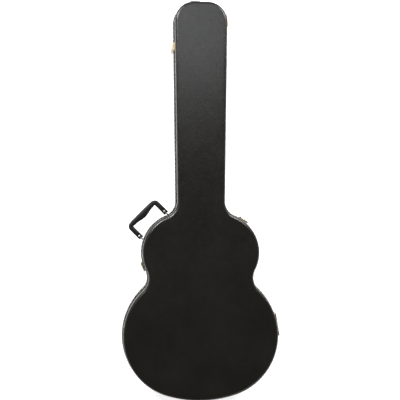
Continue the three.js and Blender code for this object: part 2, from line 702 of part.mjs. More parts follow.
function addFeet() {
  const spots = [
    { name: 'tail', run: lowerBout, degrees: -14 },
    { name: 'waist', run: lowerBout, degrees: 32 },
    { name: 'head', run: headCorner, degrees: 9 },
  ];
  for (const { name, run, degrees } of spots) {
    const angle = degrees * DEGREE;
    const place = wallGroup(
      run.centre.x + Math.cos(angle) * run.radius, run.centre.y + Math.sin(angle) * run.radius, angle,
    );
    piece(`spine_foot_${name}`, footGeometry(), rubber, place);
  }
}

addShells();
addPads();
addAccessoryBox();
hingeSpots.forEach(addHinge);
latchSpots.forEach(addLatch);
addHandle();
addFeet();

export default group;
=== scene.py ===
"""Looks of a shaped hard-shell guitar case, lying on its back. Metres, +Z up, neck along +Y."""

import json
import math

import bmesh
import bpy
from mathutils import Matrix, Vector
from mathutils.bvhtree import BVHTree


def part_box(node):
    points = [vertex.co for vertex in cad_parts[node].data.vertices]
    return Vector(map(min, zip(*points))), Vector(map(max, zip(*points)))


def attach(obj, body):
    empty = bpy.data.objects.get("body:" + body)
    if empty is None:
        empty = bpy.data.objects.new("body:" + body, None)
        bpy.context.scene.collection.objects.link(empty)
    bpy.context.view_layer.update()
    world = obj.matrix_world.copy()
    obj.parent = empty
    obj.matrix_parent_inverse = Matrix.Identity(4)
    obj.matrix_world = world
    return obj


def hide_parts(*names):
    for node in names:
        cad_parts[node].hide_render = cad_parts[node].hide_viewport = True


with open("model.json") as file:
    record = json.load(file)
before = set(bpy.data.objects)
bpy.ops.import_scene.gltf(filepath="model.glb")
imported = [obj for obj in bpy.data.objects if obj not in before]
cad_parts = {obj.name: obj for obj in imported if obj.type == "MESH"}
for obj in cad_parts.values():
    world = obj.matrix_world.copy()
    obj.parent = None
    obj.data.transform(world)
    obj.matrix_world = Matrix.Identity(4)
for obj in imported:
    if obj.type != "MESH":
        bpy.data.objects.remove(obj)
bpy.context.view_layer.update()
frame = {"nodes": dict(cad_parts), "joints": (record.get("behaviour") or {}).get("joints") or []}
nodes = frame["nodes"]
joints = {joint["name"]: joint for joint in frame["joints"]}

MM = 0.001
GAP = 0.3 * MM

# ---------------------------------------------------------------- heights, from the frame
CASE_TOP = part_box("lid_panel")[1].z
SEAM = (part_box("lid_side_wall")[0].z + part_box("base_side_wall")[1].z) / 2
HALF_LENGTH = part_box("base_side_wall")[1].y
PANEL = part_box("base_panel")[1].z
EDGING_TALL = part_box("lid_binding")[1].z - SEAM
LINING_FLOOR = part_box("base_lining")[0].z
LINING_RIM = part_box("base_lining")[1].z
VALANCE_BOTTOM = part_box("valance")[0].z
VALANCE_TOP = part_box("valance")[1].z
LID_LINING_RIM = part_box("lid_lining")[0].z
LID_LINING_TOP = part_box("lid_lining")[1].z
WALL = 7 * MM
EDGE_RADIUS = 9 * MM
LINING = 2 * MM
LATCHES = ("neck", "head", "waist", "shoulder")
HINGES = ("tail", "waist", "head")

# The right half of the outline as tangent runs: (radius or length in mm, turn in degrees).
# A negative turn is hollow, and no turn is straight.
OUTLINE_RUNS = ((324, 17), (173, 120), (48, -74), (108, 95), (47, -68.8), (503, 0), (55, 90.8))


# ---------------------------------------------------------------- outline
class Station:
    """A place on the outside of the case's wall."""

    def __init__(self, point, heading):
        self.point = point
        self.normal = Vector((math.sin(heading), -math.cos(heading)))
        self.run = 0.0

    def at(self, offset, z):
        flat = self.point + self.normal * offset
        return Vector((flat.x, flat.y, z))


def walk_half(step_degrees, step_length):
    """Points and headings from the middle of the tail to the middle of the head."""
    point = Vector((0.0, -HALF_LENGTH))
    heading = 0.0
    walked = [(point.copy(), heading)]
    for size, turn in OUTLINE_RUNS:
        size *= MM
        if turn == 0:
            steps = max(1, round(size / step_length))
            for _ in range(steps):
                point = point + Vector((math.cos(heading), math.sin(heading))) * (size / steps)
                walked.append((point.copy(), heading))
            continue
        side = math.copysign(1, turn)
        centre = point + Vector((-math.sin(heading), math.cos(heading))) * size * side
        steps = math.ceil(abs(turn) / step_degrees)
        for _ in range(steps):
            heading += math.radians(turn) / steps
            point = centre + Vector((math.sin(heading), -math.cos(heading))) * size * side
            walked.append((point.copy(), heading))
    return walked


def outline(step_degrees=2.5, step_length=18 * MM):
    right = [Station(point, heading) for point, heading in walk_half(step_degrees, step_length)]
    left = []
    for station in reversed(right[1:]):
        mirror = Station(Vector((-station.point.x, station.point.y)), 0)
        mirror.normal = Vector((-station.normal.x, station.normal.y))
        left.append(mirror)
    stations = right + left
    for before, after in zip(stations, stations[1:]):
        after.run = before.run + (after.point - before.point).length
    return stations


STATIONS = outline()


# ---------------------------------------------------------------- mesh helpers
def new_object(name, verts, faces, look, smooth=True):
    mesh = bpy.data.meshes.new(name)
    mesh.from_pydata([tuple(v) for v in verts], [], faces)
    mesh.validate()
    obj = bpy.data.objects.new(name, mesh)
    bpy.context.scene.collection.objects.link(obj)
    face_outwards(obj)
    mesh.polygons.foreach_set("use_smooth", [smooth] * len(mesh.polygons))
    mesh.materials.append(look)
    return obj


def face_outwards(obj):
    tidy = bmesh.new()
    tidy.from_mesh(obj.data)
    bmesh.ops.recalc_face_normals(tidy, faces=tidy.faces)
    tidy.to_mesh(obj.data)
    tidy.free()


def ring_faces(rings, width, closed_profile=True):
    """Quads between neighbouring rings of width points, round a closed loop of rings."""
    faces = []
    span = width if closed_profile else width - 1
    for i in range(rings):
        j = (i + 1) % rings
        for k in range(span):
            m = (k + 1) % width
            faces.append((i * width + k, j * width + k, j * width + m, i * width + m))
    return faces


def swept_ring(name, profile, look):
    """A closed profile of (offset, z) carried round the outline."""
    verts = [station.at(offset, z) for station in STATIONS for offset, z in profile]
    return new_object(name, verts, ring_faces(len(STATIONS), len(profile)), look)


def swept_tray(name, profile, look):
    """An open profile of (offset, z) whose two ends are closed by flat panels of the outline."""
    width = len(profile)
    verts = [station.at(offset, z) for station in STATIONS for offset, z in profile]
    faces = ring_faces(len(STATIONS), width, closed_profile=False)
    for end in (0, width - 1):
        faces.append(tuple(i * width + end for i in range(len(STATIONS))))
    return new_object(name, verts, faces, look)


def arc(centre, radius, start, end, steps):
    """Points of an arc in the (offset, z) plane, from start to end degrees."""
    points = []
    for i in range(steps + 1):
        angle = math.radians(start + (end - start) * i / steps)
        points.append((centre[0] + radius * math.cos(angle), centre[1] + radius * math.sin(angle)))
    return points


def apply_modifier(obj, modifier):
    bpy.context.view_layer.objects.active = obj
    with bpy.context.temp_override(object=obj, active_object=obj):
        bpy.ops.object.modifier_apply(modifier=modifier.name)


def soften(obj, width, segments=2, angle=40):
    """Rounds the sharp edges of a CAD node or a new piece."""
    bevel = obj.modifiers.new("rounded_edges", "BEVEL")
    bevel.width = width
    bevel.segments = segments
    bevel.limit_method = "ANGLE"
    bevel.angle_limit = math.radians(angle)
    bevel.harden_normals = False
    obj.data.polygons.foreach_set("use_smooth", [True] * len(obj.data.polygons))
    return bevel


def repaint(node, look):
    nodes[node].data.materials.clear()
    nodes[node].data.materials.append(look)


def tube(name, path, radius, look, sides=10, closed=True):
    """A round wire along a closed or open path of points."""
    verts = []
    count = len(path)
    for i, point in enumerate(path):
        before = path[(i - 1) % count] if closed or i > 0 else point
        after = path[(i + 1) % count] if closed or i < count - 1 else point
        along = (after - before).normalized()
        side = along.orthogonal().normalized()
        if verts:
            side = (previous - along * previous.dot(along)).normalized()
        previous = side
        other = along.cross(side)
        for k in range(sides):
            angle = 2 * math.pi * k / sides
            verts.append(point + (side * math.cos(angle) + other * math.sin(angle)) * radius)
    if closed:
        faces = ring_faces(count, sides)
    else:
        faces = ring_faces(count, sides)[: (count - 1) * sides]
        faces += [tuple(range(sides)), tuple(range((count - 1) * sides, count * sides))]
    return new_object(name, verts, faces, look)


class Mount:
    """A place on the wall: out from it, along it and up from the seam."""

    def __init__(self, point, normal):
        self.point = Vector((point[0], point[1], SEAM))
        self.out = Vector((normal[0], normal[1], 0)).normalized()
        self.along = Vector((-self.out.y, self.out.x, 0))

    def at(self, out, along, up):
        return self.point + self.out * out + self.along * along + Vector((0, 0, up))


def surface_point(node, start, direction):
    """Where a ray meets a CAD node."""
    mesh = nodes[node].data
    tree = BVHTree.FromPolygons([v.co for v in mesh.vertices], [p.vertices for p in mesh.polygons])
    hit = tree.ray_cast(start, direction)
    return hit[0]


# ---------------------------------------------------------------- materials
class Look:
    """A Principled material with helpers for procedural colour, roughness and relief."""

    def __init__(self, name, roughness=0.5, metallic=0.0):
        self.material = bpy.data.materials.new(name)
        self.material.use_nodes = True
        self.tree = self.material.node_tree
        self.shader = self.tree.nodes["Principled BSDF"]
        self.shader.inputs["Roughness"].default_value = roughness
        self.shader.inputs["Metallic"].default_value = metallic
        self.place = self.tree.nodes.new("ShaderNodeTexCoord").outputs["Object"]
        self.relief = None

    def link(self, output, socket):
        self.tree.links.new(output, socket)

    def socket(self, name, value):
        self.shader.inputs[name].default_value = value

    def noise(self, scale, detail=4.0, roughness=0.55, stretch=None):
        node = self.tree.nodes.new("ShaderNodeTexNoise")
        node.inputs["Scale"].default_value = scale
        node.inputs["Detail"].default_value = detail
        node.inputs["Roughness"].default_value = roughness
        self.link(self.stretched(stretch), node.inputs["Vector"])
        return node.outputs["Fac"]

    def cells(self, scale, feature="F1", stretch=None):
        node = self.tree.nodes.new("ShaderNodeTexVoronoi")
        node.feature = feature
        node.inputs["Scale"].default_value = scale
        self.link(self.stretched(stretch), node.inputs["Vector"])
        return node.outputs["Distance"]

    def stretched(self, stretch):
        if stretch is None:
            return self.place
        mapping = self.tree.nodes.new("ShaderNodeMapping")
        mapping.inputs["Scale"].default_value = stretch
        self.link(self.place, mapping.inputs["Vector"])
        return mapping.outputs["Vector"]

    def ramp(self, value, stops):
        node = self.tree.nodes.new("ShaderNodeValToRGB")
        elements = node.color_ramp.elements
        while len(elements) < len(stops):
            elements.new(0.5)
        for element, (position, colour) in zip(elements, stops):
            element.position = position
            element.color = (*colour, 1)
        self.link(value, node.inputs["Fac"])
        return node.outputs["Color"]

    def spread(self, value, low, high):
        node = self.tree.nodes.new("ShaderNodeMapRange")
        node.inputs["From Min"].default_value = 0.3
        node.inputs["From Max"].default_value = 0.7
        node.inputs["To Min"].default_value = low
        node.inputs["To Max"].default_value = high
        self.link(value, node.inputs["Value"])
        return node.outputs["Result"]

    def colour(self, value, stops):
        self.link(self.ramp(value, stops), self.shader.inputs["Base Color"])

    def roughness(self, value, low, high):
        self.link(self.spread(value, low, high), self.shader.inputs["Roughness"])

    def bump(self, height, depth, strength=1.0):
        """Adds relief, depth in metres, on top of any relief already there."""
        node = self.tree.nodes.new("ShaderNodeBump")
        node.inputs["Distance"].default_value = depth
        node.inputs["Strength"].default_value = strength
        self.link(height, node.inputs["Height"])
        if self.relief is not None:
            self.link(self.relief, node.inputs["Normal"])
        self.relief = node.outputs["Normal"]
        self.link(self.relief, self.shader.inputs["Normal"])


def grey(value):
    return (value, value, value)


def vinyl_look(name, dark, light, roughness, gloss=0.4):
    """Leather-grain vinyl: pebbles with finer creases and a slow change of tone."""
    look = Look(name, roughness)
    look.colour(look.noise(9, 6), ((0.32, dark), (0.68, light)))
    look.roughness(look.noise(60, 4), roughness - 0.02, roughness + 0.03)
    look.bump(look.noise(14, 2), 1.2 * MM, 0.05)
    look.bump(look.cells(210, "F1"), 0.5 * MM, 0.12)
    look.bump(look.cells(620, "DISTANCE_TO_EDGE"), 0.3 * MM, 0.3)
    look.bump(look.noise(1500, 3), 0.06 * MM, 0.25)
    look.socket("Specular IOR Level", gloss)
    return look.material


def thread_look():
    look = Look("stitch_thread", 0.75)
    look.colour(look.noise(400, 3), ((0.3, (0.42, 0.4, 0.35)), (0.7, (0.62, 0.6, 0.54))))
    look.bump(look.noise(2600, 2, stretch=(1, 1, 3)), 0.2 * MM, 0.7)
    look.socket("Sheen Weight", 0.25)
    return look.material


def metal_look(name, dark, light, roughness, wear):
    """Plated metal with fine polishing marks, dulled patches and darker specks."""
    look = Look(name, roughness, 1.0)
    look.colour(look.noise(220, 6, 0.65), ((0.3, dark), (0.6, light)))
    look.roughness(look.noise(140, 5), roughness - 0.06, roughness + wear)
    look.bump(look.noise(900, 3, stretch=(1, 1, 6)), 0.05 * MM, 0.4)
    look.bump(look.noise(90, 3), 0.12 * MM, 0.3)
    return look.material


def plush_look(name, dark, mid, light):
    """Short pile: brushed patches that catch the light, and a fibrous surface."""
    look = Look(name, 0.95)
    look.colour(look.noise(26, 5, 0.7), ((0.25, dark), (0.5, mid), (0.75, light)))
    look.bump(look.noise(30, 3), 1.6 * MM, 0.35)
    look.bump(look.noise(1100, 4, 0.8), 0.7 * MM, 0.8)
    look.socket("Sheen Weight", 0.7)
    look.socket("Sheen Roughness", 0.35)
    look.socket("Sheen Tint", (*light, 1))
    return look.material


def moulding_look():
    look = Look("moulded_plastic", 0.42)
    look.socket("Specular IOR Level", 0.18)
    look.colour(look.noise(40, 4), ((0.3, grey(0.006)), (0.7, grey(0.014))))
    look.roughness(look.noise(120, 4), 0.34, 0.5)
    look.bump(look.cells(1300), 0.08 * MM, 0.6)
    return look.material


def rubber_look():
    look = Look("foot_rubber", 0.85)
    look.colour(look.noise(90, 5), ((0.3, grey(0.01)), (0.7, grey(0.028))))
    look.bump(look.noise(800, 3), 0.12 * MM, 0.6)
    return look.material


def ribbon_look():
    look = Look("ribbon_weave", 0.7)
    threads = look.noise(500, 2, stretch=(1, 6, 1))
    look.colour(threads, ((0.3, (0.05, 0.006, 0.01)), (0.7, (0.12, 0.014, 0.02))))
    wave = look.tree.nodes.new("ShaderNodeTexWave")
    wave.bands_direction = "Y"
    wave.inputs["Scale"].default_value = 260
    look.link(look.place, wave.inputs["Vector"])
    look.bump(wave.outputs["Fac"], 0.25 * MM, 0.8)
    look.socket("Sheen Weight", 0.3)
    return look.material


VINYL = vinyl_look("vinyl_cover", (0.0064, 0.0059, 0.0046), (0.0098, 0.0091, 0.0072), 0.26)
EDGING = vinyl_look("black_edging", (0.003, 0.003, 0.0034), (0.006, 0.006, 0.0066), 0.55, 0.1)
# The base edging is the lid edging's black vinyl painted warm brown, standing for light bounced up from
# the white floor: painted bounce light.
PAINTED_BOUNCE_EDGING = vinyl_look("brown_edging", (0.05, 0.032, 0.013), (0.095, 0.064, 0.03), 0.6, 0.1)
THREAD = thread_look()
BRASS = metal_look("aged_brass", (0.3, 0.22, 0.105), (0.56, 0.44, 0.25), 0.3, 0.14)
NICKEL = metal_look("nickel_plate", grey(0.36), grey(0.58), 0.24, 0.14)
DULL_NICKEL = metal_look("dulled_nickel", grey(0.09), grey(0.2), 0.42, 0.14)
PLUSH = plush_look("plush_lining", (0.035, 0.003, 0.007), (0.085, 0.008, 0.016), (0.17, 0.022, 0.035))
MOULDING = moulding_look()
RUBBER = rubber_look()
RIBBON = ribbon_look()


# ---------------------------------------------------------------- shells and edgings
def shell(name, looking_up, outer_z, body, replaced):
    """One half of the plywood shell with its vinyl, open at the seam."""
    flip = 1 if looking_up else -1
    lip = SEAM + flip * GAP / 2
    inner_z = outer_z - flip * PANEL
    soft_lip = 0.8 * MM
    straight_lip = 4 * MM
    inner_panel = -20 * MM
    outer_panel = [(-EDGE_RADIUS - inset, outer_z) for inset in (4 * MM, 12 * MM)]
    corner = (-EDGE_RADIUS, outer_z - flip * EDGE_RADIUS)
    rounded = arc(corner, EDGE_RADIUS, 0, flip * 90, 10)
    profile = [
        (inner_panel, inner_z),
        (-WALL, inner_z),
        (-WALL, lip),
        (-soft_lip, lip),
        (0, lip + flip * soft_lip),
        (0, lip + flip * straight_lip),
        *rounded,
        *outer_panel,
    ]
    obj = swept_tray(name, profile, VINYL)
    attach(obj, body)
    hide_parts(*replaced)


def edging_profile(flip, out):
    """Rolled edging: full at the seam and sloping back to the wall. out is how far it stands proud."""
    tall = EDGING_TALL
    points = [
        (GAP, GAP), (out - 0.6 * MM, GAP), (out - 0.15 * MM, GAP + 0.3 * MM), (out, GAP + 0.9 * MM),
        (out, 3.4 * MM), (out - 0.25 * MM, 4.6 * MM), (out - 0.8 * MM, 6.2 * MM),
        (out - 1.3 * MM, tall - 1.8 * MM), (out - 2.0 * MM, tall - 0.5 * MM), (GAP, tall),
    ]
    return [(offset, SEAM + flip * up) for offset, up in points]


LID_EDGING_OUT = 3 * MM
BASE_EDGING_OUT = 4.1 * MM
STITCH_PITCH = 12 * MM
STITCH_LENGTH = 8.2 * MM
STITCH_WIDTH = 2.4 * MM
STITCH_THICK = 1.3 * MM
STITCH_LEAN = math.radians(8)
STITCH_UP = 3.9 * MM
LID_STITCH_OUT = 2.75 * MM
BASE_STITCH_OUT = 3.8 * MM


def along_outline(distance):
    """The wall point, tangent and normal at a distance round the outline."""
    for before, after in zip(STATIONS, STATIONS[1:] + STATIONS[:1]):
        reach = (after.point - before.point).length
        if distance <= before.run + reach:
            part = (distance - before.run) / reach
            point = before.point.lerp(after.point, part)
            normal = before.normal.lerp(after.normal, part).normalized()
            return point, normal
    return STATIONS[-1].point, STATIONS[-1].normal


def stitch_row(name, offset, flip, look, body):
    """Long stitches lying on the edging, each a flattened capsule that sinks in at its ends."""
    z = SEAM + flip * STITCH_UP
    lean = flip * STITCH_LEAN
    total = STATIONS[-1].run + (STATIONS[0].point - STATIONS[-1].point).length
    count = round(total / STITCH_PITCH)
    rings, sides = 6, 8
    verts, faces = [], []
    for index in range(count):
        point, normal = along_outline((index + 0.5) * total / count)
        along = Vector((-normal.y, normal.x, 0))
        out = Vector((normal.x * math.cos(lean), normal.y * math.cos(lean), math.sin(lean)))
        across = along.cross(out)
        centre = Vector((point.x + normal.x * offset, point.y + normal.y * offset, z))
        base = len(verts)
        for ring in range(rings + 1):
            travel = -math.cos(math.pi * ring / rings)
            size = max(math.sin(math.pi * ring / rings), 0.08) ** 0.45
            middle = centre + along * travel * STITCH_LENGTH / 2 - out * 0.25 * MM * travel ** 4
            for side in range(sides):
                angle = 2 * math.pi * side / sides
                verts.append(
                    middle
                    + across * math.cos(angle) * STITCH_WIDTH / 2 * size
                    + out * math.sin(angle) * STITCH_THICK / 2 * size
                )
        for ring in range(rings):
            for side in range(sides):
                nxt = (side + 1) % sides
                a, b = base + ring * sides, base + (ring + 1) * sides
                faces.append((a + side, a + nxt, b + nxt, b + side))
        faces.append(tuple(base + side for side in range(sides)))
        faces.append(tuple(base + rings * sides + side for side in range(sides)))
    obj = new_object(name, verts, faces, look)
    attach(obj, body)


def make_edgings():
    lid = swept_ring("lid_edging", edging_profile(1, LID_EDGING_OUT), EDGING)
    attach(lid, "lid")
    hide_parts("lid_binding")
    # The base edging is coloured with the painted floor bounce light.
    base = swept_ring("base_edging", edging_profile(-1, BASE_EDGING_OUT), PAINTED_BOUNCE_EDGING)
    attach(base, "base")
    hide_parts("base_binding")
    stitch_row("lid_edging_stitches", LID_STITCH_OUT, 1, THREAD, "lid")
    # The base stitches take the same painted floor bounce light colour as the base edging.
    stitch_row("base_edging_stitches", BASE_STITCH_OUT, -1, PAINTED_BOUNCE_EDGING, "base")


# ---------------------------------------------------------------- linings
def make_linings():
    outer = -WALL - GAP
    inner = outer - LINING
    fillet = 9 * MM
    under_panel = -24 * MM
    inner_panel = -32 * MM
    floor = LINING_FLOOR + LINING
    base_profile = [
        (under_panel, LINING_FLOOR), (outer, LINING_FLOOR), (outer, LINING_RIM - 1 * MM),
        (outer - 0.6 * MM, LINING_RIM), (inner, LINING_RIM - 0.6 * MM),
        *arc((inner - fillet, floor + fillet), fillet, 0, -90, 6),
        (inner_panel, floor),
    ]
    base = swept_tray("plush_base_tray", base_profile, PLUSH)
    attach(base, "base")
    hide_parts("base_lining")
    ceiling = LID_LINING_TOP - LINING
    lid_profile = [
        (under_panel, LID_LINING_TOP), (outer, LID_LINING_TOP), (outer, LID_LINING_RIM + 1 * MM),
        (outer - 0.6 * MM, LID_LINING_RIM), (inner, LID_LINING_RIM + 0.6 * MM),
        *arc((inner - fillet, ceiling - fillet), fillet, 0, 90, 6),
        (inner_panel, ceiling),
    ]
    lid = swept_tray("plush_lid_tray", lid_profile, PLUSH)
    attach(lid, "lid")
    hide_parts("lid_lining")
    lip_out = -WALL - 1.2 * MM
    face = outer - 3 * MM
    round_top = arc(((lip_out + face) / 2, VALANCE_TOP - 1.2 * MM), (lip_out - face) / 2, 0, 180, 6)
    valance = swept_ring("plush_valance", [
        (outer, VALANCE_BOTTOM), (outer, SEAM - 2 * MM), (lip_out, SEAM - GAP),
        *round_top, (face, VALANCE_BOTTOM),
    ], PLUSH)
    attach(valance, "base")
    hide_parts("valance")


# ---------------------------------------------------------------- pads
PAD_VOXEL = 5 * MM
PAD_SHRINK = 1.6 * MM
PAD_SWELL = 3.2 * MM


def pad_copy(name, node):
    mesh = nodes[node].data.copy()
    mesh.name = name
    mesh.materials.clear()
    obj = bpy.data.objects.new(name, mesh)
    bpy.context.scene.collection.objects.link(obj)
    remesh = obj.modifiers.new("remesh", "REMESH")
    remesh.mode = "VOXEL"
    remesh.voxel_size = PAD_VOXEL
    remesh.use_smooth_shade = True
    apply_modifier(obj, remesh)
    smooth = obj.modifiers.new("smooth", "SMOOTH")
    smooth.iterations = 4
    apply_modifier(obj, smooth)
    for vertex in obj.data.vertices:
        vertex.co = vertex.co - vertex.normal * PAD_SHRINK
    return obj


def inflate(obj):
    """Fills the pad's cover by cloth simulation and keeps it inside its swell limit."""
    start = [vertex.co.copy() for vertex in obj.data.vertices]
    cloth = obj.modifiers.new("cloth", "CLOTH")
    cloth.settings.use_pressure = True
    cloth.settings.uniform_pressure_force = 4
    cloth.settings.effector_weights.gravity = 0
    cloth.point_cache.frame_end = 20
    scene = bpy.context.scene
    for number in range(1, 21):
        scene.frame_set(number)
    moved = obj.evaluated_get(bpy.context.evaluated_depsgraph_get()).to_mesh()
    end = [vertex.co.copy() for vertex in moved.vertices]
    obj.modifiers.remove(cloth)
    scene.frame_set(1)
    for vertex, before, after in zip(obj.data.vertices, start, end):
        step = after - before
        if step.length > PAD_SWELL:
            step *= PAD_SWELL / step.length
        vertex.co = before + step


def keep_inside(obj, node, margin):
    """No point of the pad leaves its CAD solid by more than the margin."""
    mesh = nodes[node].data
    tree = BVHTree.FromPolygons([v.co for v in mesh.vertices], [p.vertices for p in mesh.polygons])
    for vertex in obj.data.vertices:
        near, normal, _, _ = tree.find_nearest(vertex.co)
        height = (vertex.co - near).dot(normal)
        if height > margin:
            vertex.co -= normal * (height - margin)


def make_pad(name, node, body):
    obj = pad_copy(name, node)
    inflate(obj)
    keep_inside(obj, node, -0.1 * MM)
    subdivide = obj.modifiers.new("subdivide", "SUBSURF")
    subdivide.levels = 1
    subdivide.render_levels = 1
    apply_modifier(obj, subdivide)
    obj.data.polygons.foreach_set("use_smooth", [True] * len(obj.data.polygons))
    obj.data.materials.clear()
    obj.data.materials.append(PLUSH)
    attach(obj, body)
    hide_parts(node)


def make_pads():
    make_pad("neck_cradle_pad", "neck_cradle", "base")
    make_pad("headstock_pad", "head_pad", "base")
    make_pad("waist_bolster_left", "waist_pad_left", "base")
    make_pad("waist_bolster_right", "waist_pad_right", "base")
    make_pad("tail_bolster", "tail_pad", "base")
    make_pad("lid_neck_cushion", "lid_neck_pad", "lid")


# ---------------------------------------------------------------- fastener heads
def dome_heads(name, places, radius, look, body):
    """Round rivet heads, each at a point and facing a direction."""
    verts, faces = [], []
    sides, rings = 14, 4
    for point, facing in places:
        side = facing.orthogonal().normalized()
        other = facing.cross(side)
        base = len(verts)
        for ring in range(rings):
            rise = math.pi / 2 * ring / rings
            size = radius * math.cos(rise)
            height = radius * 0.45 * math.sin(rise) - 0.2 * MM * (ring == 0)
            for k in range(sides):
                angle = 2 * math.pi * k / sides
                spoke = side * math.cos(angle) + other * math.sin(angle)
                verts.append(point + spoke * size + facing * height)
        verts.append(point + facing * radius * 0.45)
        for ring in range(rings - 1):
            for k in range(sides):
                m = (k + 1) % sides
                a, b = base + ring * sides, base + (ring + 1) * sides
                faces.append((a + k, a + m, b + m, b + k))
        top = base + (rings - 1) * sides
        for k in range(sides):
            faces.append((top + k, top + (k + 1) % sides, len(verts) - 1))
        faces.append(tuple(base + k for k in range(sides)))
    obj = new_object(name, verts, faces, look)
    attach(obj, body)
    return obj


def heads_on(name, node, mount, spots, radius, look, body):
    """Rivet heads on a node's outer face, at (along, up) places of a wall mount."""
    places = []
    for along, up in spots:
        start = mount.at(60 * MM, along, up)
        hit = surface_point(node, start, -mount.out)
        if hit is not None:
            places.append((hit, mount.out))
    return dome_heads(name, places, radius, look, body)


# ---------------------------------------------------------------- latches
LATCH_PIVOT_OUT = 6 * MM
LATCH_PIVOT_UP = -14 * MM
LATCH_PIN_RADIUS = 1.2 * MM
LATCH_PIN_HALF = 10.9 * MM
LATCH_WIRE = 1.2 * MM
LATCH_WIRE_HALF = 13.2 * MM
LATCH_WIRE_CORNER = 1.6 * MM
COVER_HALF = 8.5 * MM
COVER_INNER = 3.7 * MM
COVER_TOP = -12.2 * MM
COVER_BOTTOM = -44.8 * MM


def latch_mount(name):
    joint = joints[f"latch_{name}_lever_hinge"]
    axis = joint["axis"]
    normal = Vector((-axis[1], axis[0], 0))
    pivot = Vector(joint["pos_m"])
    return Mount(pivot - normal * LATCH_PIVOT_OUT, normal)


def rounded_loop(half_width, low, high, radius, steps=4):
    """Corner-rounded rectangle in the (along, up) plane."""
    corners = (
        (half_width - radius, high - radius, 0), (radius - half_width, high - radius, 90),
        (radius - half_width, low + radius, 180), (half_width - radius, low + radius, 270),
    )
    points = []
    for x, z, start in corners:
        points += arc((x, z), radius, start, start + 90, steps)
    return points


def latch_loop(name, mount, low, high):
    path = [
        mount.at(LATCH_PIVOT_OUT, along, up)
        for along, up in rounded_loop(LATCH_WIRE_HALF, low, high, LATCH_WIRE_CORNER)
    ]
    obj = tube(f"latch_{name}_wire", path, LATCH_WIRE, NICKEL, sides=12)
    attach(obj, f"latch_{name}_loop_body")
    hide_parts(f"latch_{name}_loop")


def latch_cover(name, mount):
    """The lever: a pressed cover, crowned across its width, with a lifted finger end."""
    rows, columns = 18, 12
    verts, faces = [], []
    for layer in (0, 1):
        for row in range(rows + 1):
            part = row / rows
            up = COVER_TOP + (COVER_BOTTOM - COVER_TOP) * part
            shoulder = min(1.0, part * 6) ** 0.5
            lift = 2.2 * MM * max(0.0, (part - 0.78) / 0.22) ** 1.6
            for column in range(columns + 1):
                across = -1 + 2 * column / columns
                crown = (1 - abs(across) ** 4) * shoulder
                rise = (1.6 * MM + 2.8 * MM * crown) if layer else 0.0
                out = COVER_INNER + rise + lift * (1 if layer else 0.35)
                verts.append(mount.at(out, across * COVER_HALF, up))
    width = columns + 1
    size = (rows + 1) * width
    for row in range(rows):
        for column in range(columns):
            a = row * width + column
            faces.append((a, a + 1, a + width + 1, a + width))
            faces.append((size + a, size + a + width, size + a + width + 1, size + a + 1))
    border = list(range(width))
    border += [row * width + columns for row in range(1, rows + 1)]
    border += [rows * width + column for column in reversed(range(columns))]
    border += [row * width for row in reversed(range(1, rows))]
    for a, b in zip(border, border[1:] + border[:1]):
        faces.append((a, b, size + b, size + a))
    obj = new_object(f"latch_{name}_cover", verts, faces, BRASS)
    soften(obj, 0.5 * MM, 2, 50)
    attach(obj, f"latch_{name}_lever_body")
    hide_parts(f"latch_{name}_lever")
    pivot = mount.at(LATCH_PIVOT_OUT, 0, LATCH_PIVOT_UP)
    reach = mount.along * LATCH_PIN_HALF
    ends = [pivot - reach, pivot + reach]
    pin = tube(f"latch_{name}_pin", ends, LATCH_PIN_RADIUS, BRASS, 12, closed=False)
    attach(pin, f"latch_{name}_lever_body")


def make_latches():
    for name in LATCHES:
        mount = latch_mount(name)
        loop_low = joints[f"latch_{name}_loop_hinge"]["pos_m"][2] - SEAM
        loop_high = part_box(f"latch_{name}_loop")[1].z - SEAM - LATCH_WIRE
        latch_loop(name, mount, loop_low, loop_high)
        latch_cover(name, mount)
        for part in ("plate", "keeper"):
            repaint(f"latch_{name}_{part}", BRASS)
            soften(nodes[f"latch_{name}_{part}"], 0.45 * MM, 2)
        plate_spots = [(side * 9 * MM, -48.5 * MM) for side in (-1, 1)]
        keeper_spots = [(side * 6.5 * MM, 21.5 * MM) for side in (-1, 1)]
        heads_on(f"latch_{name}_plate_rivets", f"latch_{name}_plate", mount, plate_spots, 1.9 * MM,
                 NICKEL, "base")
        heads_on(f"latch_{name}_keeper_rivets", f"latch_{name}_keeper", mount, keeper_spots, 2.1 * MM,
                 NICKEL, "lid")


# ---------------------------------------------------------------- hinges
HINGE_AXIS_OUT = 4.2 * MM
HINGE_SCREWS = ((-9 * MM, 24 * MM), (0.0, 18.5 * MM), (9 * MM, 24 * MM))


def make_hinges():
    axis = joints["lid_hinge"]["axis"]
    out = Vector((axis[1], -axis[0], 0))
    for name in HINGES:
        low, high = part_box(f"hinge_{name}_pin")
        mount = Mount((low + high) / 2 - out * HINGE_AXIS_OUT, out)
        for part, flip, body in (("lid_leaf", 1, "lid"), ("base_leaf", -1, "base")):
            node = f"hinge_{name}_{part}"
            repaint(node, BRASS)
            soften(nodes[node], 0.4 * MM, 2)
            flipped = [(along, flip * up) for along, up in HINGE_SCREWS]
            heads_on(f"{node}_screws", node, mount, flipped, 2.6 * MM, NICKEL, body)
        repaint(f"hinge_{name}_pin", NICKEL)
        soften(nodes[f"hinge_{name}_pin"], 0.4 * MM, 2)


